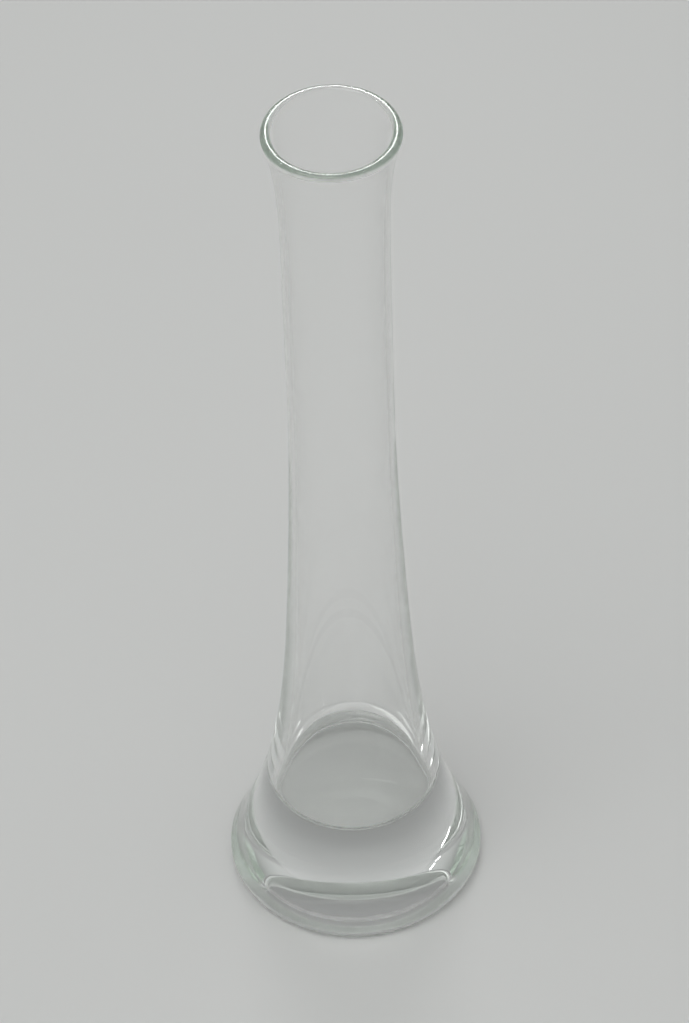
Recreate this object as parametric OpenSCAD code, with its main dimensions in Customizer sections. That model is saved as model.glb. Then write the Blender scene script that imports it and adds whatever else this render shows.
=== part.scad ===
// Glass bud vase: a slender neck that flares to a round lip, on a bell-shaped body
// with a thick solid base. It is one piece of clear glass, round about its axis.
// Millimetres, +Z up, with the origin at the middle of the resting face.

/* [Overall] */
// Height of the vase
height = 200; // [190:1:230]
// Diameter of the foot
foot_d = 52; // [49:0.5:58]

/* [Neck and mouth] */
// Outside diameter of the straight part of the neck
neck_d = 20.6; // [19:0.1:23]
// Thickness of the neck's wall
neck_wall = 1.4; // [1.2:0.1:2]
// Height where the straight part of the neck starts
neck_low = 126; // [110:1:135]
// Height where the neck begins to flare to the mouth
neck_high = 162; // [150:1:168]
// Diameter of the mouth over its lip
mouth_d = 26; // [25:0.1:30]
// Thickness of the rounded lip
lip_t = 2; // [1.7:0.1:2.6]
// Lean of the wall at the lip, from the vertical
lip_angle = 16; // [10:0.5:20]

/* [Body and base] */
// Height where the bell starts to swell out of the neck's taper
bell_top = 80; // [72:1:90]
// Radius that the long taper adds between the neck and the foot
taper = 6.8; // [6:0.1:7.5]
// Thickness that the wall grows to at the table
body_wall = 3.6; // [2.4:0.1:4.4]
// Height of the turn between the cavity's wall and its floor
cavity_low = 25; // [18:0.2:30]
// Radius of the turn between the cavity's wall and its floor
cavity_turn = 1.8; // [1.5:0.1:3]
// Slope of the dished floor where it meets the turn
dish_angle = 6; // [2:0.5:10]

/* [Foot] */
// Radius of the foot's rounded edge
edge_r = 2.4; // [1.8:0.1:3.4]
// Lean of the bell where it meets the foot's edge, from the vertical
edge_angle = 25.5; // [22:0.5:30]
// Width of the flat ring that the vase rests on
rest_w = 2.8; // [2:0.1:4]
// Height of the hollow under the foot
punt = 1.6; // [0.8:0.1:2.4]

/* [Quality] */
// Steps along each long stretch of the outline
steps = 36; // [24:1:60]

/* [Hidden] */
$fn = 96;
turn_steps = 8;
taper_power = 1.5;

foot_r = foot_d / 2;
neck_r = neck_d / 2;
lip_r = lip_t / 2;
throat_r = neck_r - neck_wall;

// The lip's circle, and where the wall's two faces run into it without a crease
lip_c = [mouth_d / 2 - lip_r, height - lip_r];
lip_out = lip_c + lip_r * [cos(lip_angle), -sin(lip_angle)];
lip_in = lip_c + lip_r * [-cos(lip_angle), sin(lip_angle)];

// The foot's rounded edge, and where the bell runs into it without a crease
edge_c = [foot_r - edge_r, edge_r];
edge_out = edge_c + edge_r * [cos(edge_angle), sin(edge_angle)];

// Part of a stretch that is left below its top, from 1 at the bottom to 0
function left(z, top) = max(0, 1 - z / top);

// The long taper, which starts at no slope where the neck is straight
function taper_r(z) = taper * pow(left(z, neck_low), taper_power);
function taper_slope(z) = taper * taper_power / neck_low * pow(left(z, neck_low), taper_power - 1);

// The bell's power and size are those that meet the foot's edge at its lean
bell_d = edge_out.x - neck_r - taper_r(edge_out.y);
bell_left = left(edge_out.y, bell_top);
bell_power = (tan(edge_angle) - taper_slope(edge_out.y)) * bell_top * bell_left / bell_d;
bell_size = bell_d / pow(bell_left, bell_power);
function bell_r(z) = bell_size * pow(left(z, bell_top), bell_power);
function bell_slope(z) = bell_size * bell_power / bell_top * pow(left(z, bell_top), bell_power - 1);

// A flare from the straight neck to an end point that it reaches at the lip's lean
function flare_r(z, r, end) =
    let (run = end.y - neck_high, rise = end.x - r, power = tan(lip_angle) * run / rise)
    rise * pow(max(0, z - neck_high) / run, power);

// Radius of the outside, and of the cavity, at a height
function outer_r(z) = neck_r + taper_r(z) + bell_r(z) + flare_r(z, neck_r, lip_out);
function wall(z) = neck_wall + (body_wall - neck_wall) * pow(left(z, neck_low), 2);
function inner_r(z) = z > neck_high
    ? throat_r + flare_r(z, throat_r, lip_in)
    : neck_r + taper_r(z) + bell_r(z) - wall(z);

// The turn at the foot of the cavity's wall, and the dished floor inside it
turn_lean = atan(taper_slope(cavity_low) + bell_slope(cavity_low));
turn_c = [inner_r(cavity_low), cavity_low] - cavity_turn * [cos(turn_lean), sin(turn_lean)];
floor_edge = turn_c + cavity_turn * [sin(dish_angle), -cos(dish_angle)];
floor_r = floor_edge.x / sin(dish_angle);
floor_c = floor_edge.y + floor_r * cos(dish_angle);

// The hollow under the foot is part of a large ball
punt_edge = edge_c.x - rest_w;
punt_r = (punt_edge * punt_edge + punt * punt) / (2 * punt);
punt_angle = asin(punt_edge / punt_r);

// Points along an arc, from one angle to the other
function arc(c, r, from, to, n) =
    [for (i = [0:n]) c + r * [cos(from + (to - from) * i / n), sin(from + (to - from) * i / n)]];

// Heights from one to the other in equal steps, without the last one
function heights(from, to, n) = [for (i = [0:n - 1]) from + (to - from) * i / n];

module vase() {
    underside = arc([0, punt - punt_r], punt_r, 90, 90 - punt_angle, turn_steps);
    edge = arc(edge_c, edge_r, -90, edge_angle, 2 * turn_steps);
    bell = [for (z = heights(edge_out.y, bell_top, steps)) [outer_r(z), z]];
    body = [for (z = heights(bell_top, neck_low, steps / 2)) [outer_r(z), z]];
    flare = [for (z = heights(neck_high, lip_out.y, steps / 2)) [outer_r(z), z]];
    lip = arc(lip_c, lip_r, -lip_angle, 180 - lip_angle, 2 * turn_steps);
    mouth = [for (z = heights(lip_in.y, neck_high, steps / 2)) [inner_r(z), z]];
    throat = [[throat_r, neck_high]];
    cavity = [for (z = heights(neck_low, cavity_low, steps)) [inner_r(z), z]];
    turn = arc(turn_c, cavity_turn, turn_lean, dish_angle - 90, turn_steps);
    dish = arc([0, floor_c], floor_r, dish_angle - 90, -90, turn_steps);
    color("lightcyan", 0.35)
        rotate_extrude()
            polygon(concat(
                underside, edge, tail(bell), body, [[neck_r, neck_low]], flare,
                lip, tail(mouth), throat, cavity, turn, tail(dish)));
}

// A list without its first point, where the stretch before it ends on that point
function tail(list) = [for (i = [1:len(list) - 1]) list[i]];

vase();
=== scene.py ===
import math

import bpy
from mathutils import Matrix, Vector


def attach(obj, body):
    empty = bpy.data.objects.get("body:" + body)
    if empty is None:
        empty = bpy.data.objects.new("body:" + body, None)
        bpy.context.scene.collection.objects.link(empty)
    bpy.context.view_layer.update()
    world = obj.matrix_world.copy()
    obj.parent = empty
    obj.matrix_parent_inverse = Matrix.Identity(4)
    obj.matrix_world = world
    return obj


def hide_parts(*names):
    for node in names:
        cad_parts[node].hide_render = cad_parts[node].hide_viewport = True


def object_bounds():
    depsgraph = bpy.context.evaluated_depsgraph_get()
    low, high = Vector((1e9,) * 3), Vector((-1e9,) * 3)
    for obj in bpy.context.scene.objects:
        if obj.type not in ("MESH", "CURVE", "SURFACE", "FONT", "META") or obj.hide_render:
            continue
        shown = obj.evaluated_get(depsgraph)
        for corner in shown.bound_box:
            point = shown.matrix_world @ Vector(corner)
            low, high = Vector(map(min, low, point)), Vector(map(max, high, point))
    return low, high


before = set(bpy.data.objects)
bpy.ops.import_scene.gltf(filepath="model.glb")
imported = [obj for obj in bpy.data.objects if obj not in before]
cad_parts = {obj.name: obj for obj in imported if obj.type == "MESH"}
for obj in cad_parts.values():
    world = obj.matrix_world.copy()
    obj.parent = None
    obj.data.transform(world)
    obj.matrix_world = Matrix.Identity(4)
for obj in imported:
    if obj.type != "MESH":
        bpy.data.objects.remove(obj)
cad_low, cad_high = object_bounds()
scene = bpy.context.scene


# ---------------------------------------------------------------- the vase
# The whole vase is one piece of clear soda-lime glass, blown in a mould, with its lip melted round
# in a flame. Its walls are thin, its base is a solid block, and the cavity's surface keeps the
# slight unevenness of glass that no mould has touched.

# Sizes in millimetres, as the glass was drawn. Those of the whole vase come from the frame.
MM = 0.001
height = cad_high.z / MM
foot_r = cad_high.x / MM
neck_r = 10.3
throat_r = 8.9
neck_low = 126.0
neck_high = 162.0
mouth_r = 13.0
lip_r = 1.0
lip_angle = math.radians(16)
bell_top = 80.0
taper = 6.8
taper_power = 1.5
body_wall = 3.6
cavity_low = 25.0
cavity_turn = 1.8
dish_angle = math.radians(6)
edge_r = 2.4
edge_angle = math.radians(25.5)
rest_w = 2.8
punt = 1.6
wall_waver = 0.10
wave_length = 9.0
wave_seed = 3.0

# Steps of the finished mesh: round the axis, and along each stretch of the outline.
turns = 320
bell_steps = 52
body_steps = 12
neck_steps = 8
flare_steps = 26
turn_steps = 14
rest_steps = 6
lip_steps = 18


def left(z, top):
    """How much of a stretch is left below its top, from 1 at the table to 0 at the top."""
    return max(0.0, 1 - z / top)


def taper_r(z):
    """What the long taper adds to the neck's radius."""
    return taper * left(z, neck_low) ** taper_power


def taper_slope(z):
    return taper * taper_power / neck_low * left(z, neck_low) ** (taper_power - 1)


# The bell's power and size are those that meet the foot's rounded edge without a crease.
edge_c = Vector((foot_r - edge_r, edge_r))
edge_out = edge_c + edge_r * Vector((math.cos(edge_angle), math.sin(edge_angle)))
bell_d = edge_out.x - neck_r - taper_r(edge_out.y)
bell_left = left(edge_out.y, bell_top)
bell_power = (math.tan(edge_angle) - taper_slope(edge_out.y)) * bell_top * bell_left / bell_d
bell_size = bell_d / bell_left**bell_power


def bell_r(z):
    """What the bell adds to the neck's radius."""
    return bell_size * left(z, bell_top) ** bell_power


def bell_slope(z):
    return bell_size * bell_power / bell_top * left(z, bell_top) ** (bell_power - 1)


# The lip is a full round, and each face of the wall flares until it meets it without a crease.
lip_c = Vector((mouth_r - lip_r, height - lip_r))
lip_lean = Vector((math.cos(lip_angle), -math.sin(lip_angle)))
lip_out = lip_c + lip_r * lip_lean
lip_in = lip_c - lip_r * lip_lean


def flare_r(z, r, end):
    """What the mouth's flare adds to a radius of r, on the way from the straight neck to end."""
    run = end.y - neck_high
    rise = end.x - r
    return rise * (max(0.0, z - neck_high) / run) ** (math.tan(lip_angle) * run / rise)


def outer(z):
    return Vector((neck_r + taper_r(z) + bell_r(z) + flare_r(z, neck_r, lip_out), z))


def inner(z):
    if z > neck_high:
        return Vector((throat_r + flare_r(z, throat_r, lip_in), z))
    neck_wall = neck_r - throat_r
    wall = neck_wall + (body_wall - neck_wall) * left(z, neck_low) ** 2
    return Vector((neck_r + taper_r(z) + bell_r(z) - wall, z))


def arc(centre, r, start, end, steps):
    """Points along an arc, without the last one."""
    angles = [start + (end - start) * i / steps for i in range(steps)]
    return [centre + r * Vector((math.cos(a), math.sin(a))) for a in angles]


def run(face, start, end, steps):
    """Points of one face between two heights, without the last one."""
    return [face(start + (end - start) * i / steps) for i in range(steps)]


# The cavity's wall turns into a dished floor. The hollow under the foot is part of a large ball.
turn_lean = math.atan(taper_slope(cavity_low) + bell_slope(cavity_low))
turn_c = inner(cavity_low) - cavity_turn * Vector((math.cos(turn_lean), math.sin(turn_lean)))
floor_edge = turn_c + cavity_turn * Vector((math.sin(dish_angle), -math.cos(dish_angle)))
floor_r = floor_edge.x / math.sin(dish_angle)
floor_c = Vector((0, floor_edge.y + floor_r * math.cos(dish_angle)))
rest_in = edge_c.x - rest_w
punt_r = (rest_in**2 + punt**2) / (2 * punt)
punt_c = Vector((0, punt - punt_r))
punt_angle = math.asin(rest_in / punt_r)
right_angle = math.pi / 2

outside = arc(punt_c, punt_r, right_angle, right_angle - punt_angle, turn_steps)
outside += [Vector((rest_in + rest_w * i / rest_steps, 0)) for i in range(rest_steps)]
outside += arc(edge_c, edge_r, -right_angle, edge_angle, 2 * turn_steps)
outside += run(outer, edge_out.y, bell_top, bell_steps)
outside += run(outer, bell_top, neck_low, body_steps)
outside += run(outer, neck_low, neck_high, neck_steps)
outside += run(outer, neck_high, lip_out.y, flare_steps)
lip = arc(lip_c, lip_r, -lip_angle, math.pi - lip_angle, lip_steps)
inside = run(inner, lip_in.y, neck_high, flare_steps)
inside += run(inner, neck_high, neck_low, neck_steps)
inside += run(inner, neck_low, bell_top, body_steps)
inside += run(inner, bell_top, cavity_low, bell_steps)
inside += arc(turn_c, cavity_turn, turn_lean, dish_angle - right_angle, turn_steps)
inside += arc(floor_c, floor_r, dish_angle - right_angle, -right_angle, turn_steps)
inside += [floor_c - Vector((0, floor_r))]
outline = outside + lip + inside

# How freely each point formed: not at all in the foot, a little where the mould shaped the
# outside, and wholly in the cavity.
foot_points = 3 * turn_steps + rest_steps
moulded = 0.15
free = [0.0] * foot_points
free += [moulded] * (len(outside) - foot_points)
free += [moulded + (1 - moulded) * i / len(lip) for i in range(len(lip))]
free += [1.0] * len(inside)

# The direction to the air at each point is square to the outline.
to_air = []
for i in range(len(outline)):
    along = outline[min(i + 1, len(outline) - 1)] - outline[max(i - 1, 0)]
    to_air.append(Vector((along.y, 0, -along.x)).normalized())
to_air[0] = Vector((0, 0, -1))
to_air[-1] = Vector((0, 0, 1))

outline_mesh = bpy.data.meshes.new("vase_glass")
outline_mesh.from_pydata([(p.x * MM, 0, p.y * MM) for p in outline], [], [])
outline_mesh.attributes.new("to_air", "FLOAT_VECTOR", "POINT")
outline_mesh.attributes["to_air"].data.foreach_set("vector", [c for v in to_air for c in v])
outline_mesh.attributes.new("free", "FLOAT", "POINT")
outline_mesh.attributes["free"].data.foreach_set("value", free)
vase = bpy.data.objects.new("vase_glass", outline_mesh)
scene.collection.objects.link(vase)


class Wire:
    """A node's output. Arithmetic on it adds the Math nodes, and node() adds any other node."""

    def __init__(self, tree, socket=None):
        self.tree = tree
        self.socket = socket

    def node(self, kind, settings=None, output=0, **inputs):
        """Adds a node, sets it up, fills its sockets and returns one of its outputs."""
        made = self.tree.nodes.new(kind)
        for name, value in (settings or {}).items():
            setattr(made, name, value)
        open_sockets = [s for s in made.inputs if s.enabled]
        for name, value in inputs.items():
            if name[0] == "_":
                socket = open_sockets[int(name[1:])]
            else:
                socket = next(s for s in open_sockets if s.name.replace(" ", "_") == name)
            if isinstance(value, Wire):
                self.tree.links.new(value.socket, socket)
            else:
                socket.default_value = value
        if isinstance(output, str):
            socket = next(s for s in made.outputs if s.enabled and s.name == output)
        else:
            socket = [s for s in made.outputs if s.enabled][output]
        return Wire(self.tree, socket)

    def maths(self, operation, *values):
        numbered = {f"_{i}": value for i, value in enumerate(values)}
        return self.node("ShaderNodeMath", {"operation": operation}, **numbered)

    def __add__(self, other):
        return self.maths("ADD", self, other)

    __radd__ = __add__

    def __sub__(self, other):
        return self.maths("SUBTRACT", self, other)

    def __rsub__(self, other):
        return self.maths("SUBTRACT", other, self)

    def __mul__(self, other):
        return self.maths("MULTIPLY", self, other)

    __rmul__ = __mul__

    def __truediv__(self, other):
        return self.maths("DIVIDE", self, other)

    def __rtruediv__(self, other):
        return self.maths("DIVIDE", other, self)


def turned_glass():
    """The node tree that turns the outline round the axis and gives the cavity its unevenness."""
    tree = bpy.data.node_groups.new("turned_glass", "GeometryNodeTree")
    tree.interface.new_socket("Geometry", in_out="OUTPUT", socket_type="NodeSocketGeometry")
    tree.interface.new_socket("Outline", in_out="INPUT", socket_type="NodeSocketGeometry")
    for name, kind in (
        ("Turns", "NodeSocketInt"),
        ("Wall waver", "NodeSocketFloat"),
        ("Wave length", "NodeSocketFloat"),
        ("Seed", "NodeSocketFloat"),
        ("Glass", "NodeSocketMaterial"),
    ):
        tree.interface.new_socket(name, in_out="INPUT", socket_type=kind)
    add = Wire(tree).node
    group_input = tree.nodes.new("NodeGroupInput")
    given = {s.name: Wire(tree, s) for s in group_input.outputs if s.name}
    points = add("GeometryNodeAttributeDomainSize", Geometry=given["Outline"])
    grid = add(
        "GeometryNodeMeshGrid",
        Size_X=1.0,
        Size_Y=1.0,
        Vertices_X=given["Turns"] + 1,
        Vertices_Y=points,
    )

    # The grid counts its points up the outline first, and then round the axis.
    number = add("GeometryNodeInputIndex")
    place = number.maths("MODULO", number, points)
    angle = number.maths("FLOOR", number / points) / given["Turns"] * (2 * math.pi)

    def on_outline(value, kind):
        """A value of the outline's own point, read for each point of the grid."""
        return add(
            "GeometryNodeSampleIndex",
            {"data_type": kind},
            Geometry=given["Outline"],
            Value=value,
            Index=place,
        )

    def round_axis(value):
        return add(
            "ShaderNodeVectorRotate",
            {"rotation_type": "Z_AXIS"},
            Vector=value,
            Center=(0.0, 0.0, 0.0),
            Angle=angle,
        )

    def stored(name, kind):
        return add("GeometryNodeInputNamedAttribute", {"data_type": kind}, Name=name)

    position = round_axis(on_outline(add("GeometryNodeInputPosition"), "FLOAT_VECTOR"))
    outward = round_axis(on_outline(stored("to_air", "FLOAT_VECTOR"), "FLOAT_VECTOR"))
    freedom = on_outline(stored("free", "FLOAT"), "FLOAT")

    # The unevenness is drawn out up the wall, so that it is several times longer than it is wide.
    draw_out = (1.0, 1.0, 0.3)
    weld = 1e-6
    drawn_out = add(
        "ShaderNodeVectorMath",
        {"operation": "MULTIPLY"},
        _0=position,
        _1=draw_out,
    )
    noise = add(
        "ShaderNodeTexNoise",
        {"noise_dimensions": "4D"},
        Vector=drawn_out,
        W=given["Seed"],
        Scale=1 / given["Wave length"],
        Detail=1.5,
        Roughness=0.4,
    )
    rise = (noise - 0.5) * given["Wall waver"] * freedom
    shift = add("ShaderNodeVectorMath", {"operation": "SCALE"}, _0=outward, Scale=rise)
    moved = add("ShaderNodeVectorMath", {"operation": "ADD"}, _0=position, _1=shift)
    glass = add("GeometryNodeSetPosition", Geometry=grid, Position=moved)
    glass = add("GeometryNodeMergeByDistance", Geometry=glass, Distance=weld)
    glass = add("GeometryNodeSetShadeSmooth", Geometry=glass)
    glass = add("GeometryNodeRealizeInstances", Geometry=glass)
    glass = add("GeometryNodeSetMaterial", Geometry=glass, Material=given["Glass"])
    result = tree.nodes.new("NodeGroupOutput")
    tree.links.new(glass.socket, result.inputs["Geometry"])
    return tree


def soda_lime_glass():
    """Clear soda-lime glass, faintly green in its thick base, and scuffed where it rests."""
    refraction = 1.52
    tint_colour = (0.84, 0.95, 0.86, 1)
    tint_density = 5.0
    scuffs_low = 0.04 * MM
    scuffs_high = 0.12 * MM
    scratch_size = 0.4 * MM
    scuff_roughness = 0.3
    film_patch = 18.0 * MM
    film_starts = 0.52
    film_full = 0.75
    film_roughness = 0.035
    ripple_size = 6.0 * MM
    ripple_depth = 0.05 * MM
    ripple_strength = 0.25
    material = bpy.data.materials.new("soda_lime_glass")
    material.use_nodes = True
    tree = material.node_tree
    add = Wire(tree).node
    surface = next(n for n in tree.nodes if n.type == "BSDF_PRINCIPLED")
    result = next(n for n in tree.nodes if n.type == "OUTPUT_MATERIAL")
    surface.inputs["Base Color"].default_value = (1, 1, 1, 1)
    surface.inputs["Transmission Weight"].default_value = 1.0
    surface.inputs["IOR"].default_value = refraction

    place = add("ShaderNodeTexCoord", output="Object")
    up = add("ShaderNodeSeparateXYZ", output="Z", Vector=place)

    # Fine scratches, only on the ring that stands on the table.
    low = add(
        "ShaderNodeMapRange",
        {"interpolation_type": "SMOOTHSTEP"},
        Value=up,
        From_Min=scuffs_low,
        From_Max=scuffs_high,
        To_Min=1.0,
        To_Max=0.0,
    )
    scratches = add("ShaderNodeTexNoise", Vector=place, Scale=1 / scratch_size, Detail=3.0)
    scuffs = low * scratches * scuff_roughness

    # The faint film of handling and dried water, in soft patches.
    patches = add(
        "ShaderNodeTexNoise",
        Vector=place,
        Scale=1 / film_patch,
        Detail=4.0,
        Roughness=0.6,
    )
    film = add(
        "ShaderNodeMapRange",
        Value=patches,
        From_Min=film_starts,
        From_Max=film_full,
        To_Min=0.0,
        To_Max=film_roughness,
    )
    tree.links.new((scuffs + film).socket, surface.inputs["Roughness"])

    # The skin of moulded glass is very slightly rippled.
    ripple = add(
        "ShaderNodeTexNoise",
        Vector=place,
        Scale=1 / ripple_size,
        Detail=2.0,
        Roughness=0.5,
    )
    bump = add(
        "ShaderNodeBump",
        Strength=ripple_strength,
        Distance=ripple_depth,
        Height=ripple,
    )
    tree.links.new(bump.socket, surface.inputs["Normal"])

    # The tint of iron in the glass, which shows only where the glass is thick.
    tint = tree.nodes.new("ShaderNodeVolumeAbsorption")
    tint.inputs["Color"].default_value = tint_colour
    tint.inputs["Density"].default_value = tint_density
    tree.links.new(tint.outputs[0], result.inputs["Volume"])
    return material


turner = vase.modifiers.new("turned", "NODES")
turner.node_group = turned_glass()
socket_ids = {i.name: i.identifier for i in turner.node_group.interface.items_tree}
turner[socket_ids["Turns"]] = turns
turner[socket_ids["Wall waver"]] = wall_waver * MM
turner[socket_ids["Wave length"]] = wave_length * MM
turner[socket_ids["Seed"]] = wave_seed
turner[socket_ids["Glass"]] = soda_lime_glass()
evaluated = vase.evaluated_get(bpy.context.evaluated_depsgraph_get())
glass_mesh = bpy.data.meshes.new_from_object(evaluated)
glass_mesh.materials.pop(index=0)  # the grid's own empty slot
vase.modifiers.clear()
vase.data = glass_mesh

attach(vase, "root")
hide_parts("vase")


# ---------------------------------------------------------------- the table
# A plain pale matt top, wide enough to fill every view. The foot touches it at a few high spots,
# so a film of air is left under the rest of the glass.
def pale_matt():
    """A matt pale top, a little uneven in tone."""
    matt_roughness = 0.6
    cloud_size = 170.0 * MM
    darker = (0.74, 0.753, 0.735, 1)
    lighter = (0.77, 0.783, 0.765, 1)
    material = bpy.data.materials.new("pale_matt")
    material.use_nodes = True
    tree = material.node_tree
    add = Wire(tree).node
    surface = next(n for n in tree.nodes if n.type == "BSDF_PRINCIPLED")
    surface.inputs["Roughness"].default_value = matt_roughness
    place = add("ShaderNodeTexCoord", output="Object")
    cloudy = add("ShaderNodeTexNoise", Vector=place, Scale=1 / cloud_size, Detail=3.0)
    shade = add(
        "ShaderNodeMix",
        {"data_type": "RGBA"},
        Factor=cloudy,
        A=darker,
        B=lighter,
    )
    tree.links.new(shade.socket, surface.inputs["Base Color"])
    return material


table_mesh = bpy.data.meshes.new("table")
table_r = 6.0
air_film = 0.04 * MM
sides = 96
corner_angles = [2 * math.pi * i / sides for i in range(sides)]
rim = [(table_r * math.cos(a), table_r * math.sin(a), -air_film) for a in corner_angles]
table_mesh.from_pydata(rim, [], [range(sides)])
table = bpy.data.objects.new("table", table_mesh)
table.data.materials.append(pale_matt())
scene.collection.objects.link(table)


# ---------------------------------------------------------------- the studio
# Soft light from a pale room that is brightest overhead and in front, with one large soft lamp on
# the left and in front. The other lamps do no more than put glints on the glass.
def softbox(name, place, size, power, lights_table=True, through_glass=True):
    """A square lamp, in metres and watts, that faces the middle of the vase."""
    lamp = bpy.data.lights.new(name, "AREA")
    lamp.size = size
    lamp.energy = power
    holder = bpy.data.objects.new(name, lamp)
    holder.location = place
    towards = Vector((0, 0, height * MM / 2)) - holder.location
    holder.rotation_euler = towards.to_track_quat("-Z", "Y").to_euler()
    holder.visible_diffuse = lights_table
    holder.visible_transmission = through_glass
    scene.collection.objects.link(holder)


softbox("key", (-0.45, -0.55, 1.8), size=1.2, power=7.5)
softbox("glint_right", (0.7, -0.4, 1.3), size=0.07, power=0.4, lights_table=False)
softbox("glint_left", (-0.9, 0.2, 1.2), size=0.07, power=0.4, lights_table=False)
softbox(
    "lip_glint",
    (0, 1.0, 1.1),
    size=0.5,
    power=12.0,
    lights_table=False,
    through_glass=False,
)

# The room's walls are dim behind the vase and grow paler towards the ceiling. From level down they
# are as pale as the table's far edge, so that no line shows between the two.
level_openness = 0.35
upward_gain = 0.5
backward_loss = 0.3
dimmest = 0.31
wall_gain = 0.9
far_table = 0.52
blend_power = 12.0
room_strength = 0.69
room = bpy.data.worlds.new("room")
room.use_nodes = True
scene.world = room
look = Wire(room.node_tree)
way = look.node("ShaderNodeTexCoord", output="Generated")
upward = look.node("ShaderNodeSeparateXYZ", output="Z", Vector=way)
along = look.node("ShaderNodeSeparateXYZ", output="Y", Vector=way)
backward = look.maths("MAXIMUM", along, 0.0)
openness = upward * upward_gain - backward * backward_loss + level_openness
walls = openness * openness * wall_gain + dimmest
levelness = look.maths("POWER", 1 - look.maths("MAXIMUM", upward, 0.0), blend_power)
brightness = walls + (far_table - walls) * levelness
background = next(n for n in room.node_tree.nodes if n.type == "BACKGROUND")
room.node_tree.links.new(brightness.socket, background.inputs["Color"])
background.inputs["Strength"].default_value = room_strength
scene.view_settings.view_transform = "Standard"

# Light runs many times from face to face inside a wall and a lip before it leaves the glass.
light_path = 160
scene.cycles.max_bounces = light_path
scene.cycles.transmission_bounces = light_path
scene.cycles.glossy_bounces = light_path

# The camera stands 0.7 m in front of the vase and 0.83 m above the table, and looks down at it
# with a long lens. It aims midway between the back of the lip and the front of the foot, which
# together fill most of the frame's height.
eye = Vector((0, -0.70, 0.83))
lean = math.radians(2.0)
fill_share = 0.84
film_side = 36.0
top_angle = math.atan2(height * MM - eye.z, mouth_r * MM - eye.y)
low_angle = math.atan2(-eye.z, -foot_r * MM - eye.y)
pitch = (top_angle + low_angle) / 2
camera_data = bpy.data.cameras.new("camera")
camera_data.sensor_width = film_side
camera_data.lens = film_side / 2 * fill_share / math.tan((top_angle - low_angle) / 2)
camera = bpy.data.objects.new("camera", camera_data)
level = Matrix.Rotation(math.pi / 2 + pitch, 4, "X")
camera.matrix_world = Matrix.Translation(eye) @ level @ Matrix.Rotation(-lean, 4, "Z")
scene.collection.objects.link(camera)
scene.camera = camera
